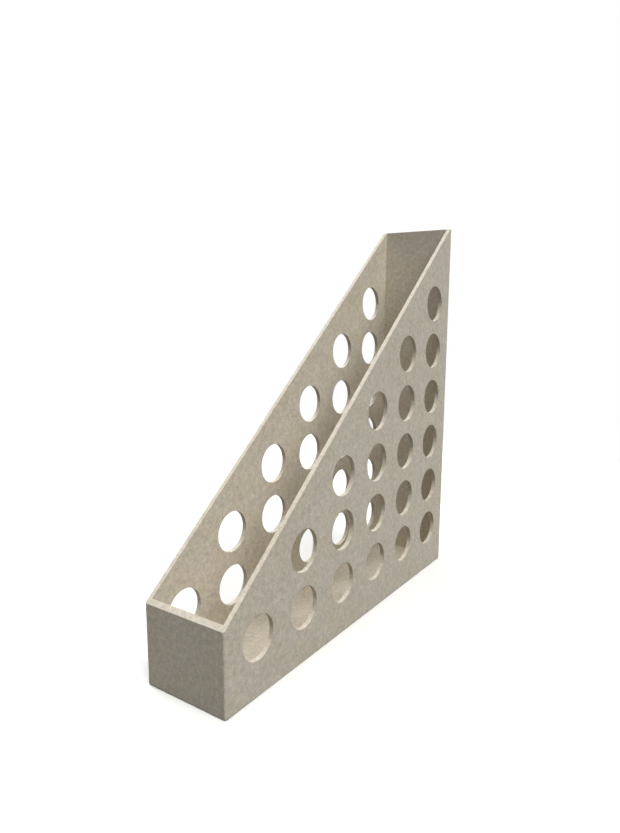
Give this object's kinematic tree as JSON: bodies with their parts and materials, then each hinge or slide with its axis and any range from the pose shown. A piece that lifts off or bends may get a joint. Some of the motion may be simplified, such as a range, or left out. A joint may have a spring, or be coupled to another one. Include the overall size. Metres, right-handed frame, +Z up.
{
  "type": "letter rack",
  "caption": "Open-topped desk rack for letters and sheets, with a low front wall, a tall back wall and sloped side walls pierced by round holes.",
  "frame": {"origin": "middle of the footprint, on the underside", "axes": "+Z up, -Y to the low front wall, +Y to the tall back wall, X across the pocket"},
  "size_m": [0.05, 0.23, 0.231],
  "materials": {
    "speckled_plastic": "matte warm grey with a fine darker and lighter speckle, like stone"
  },
  "bodies": {
    "root": {"left_side_panel": "speckled_plastic", "right_side_panel": "speckled_plastic", "front_panel": "speckled_plastic", "back_panel": "speckled_plastic", "base_panel": "speckled_plastic"}
  },
  "joints": []
}
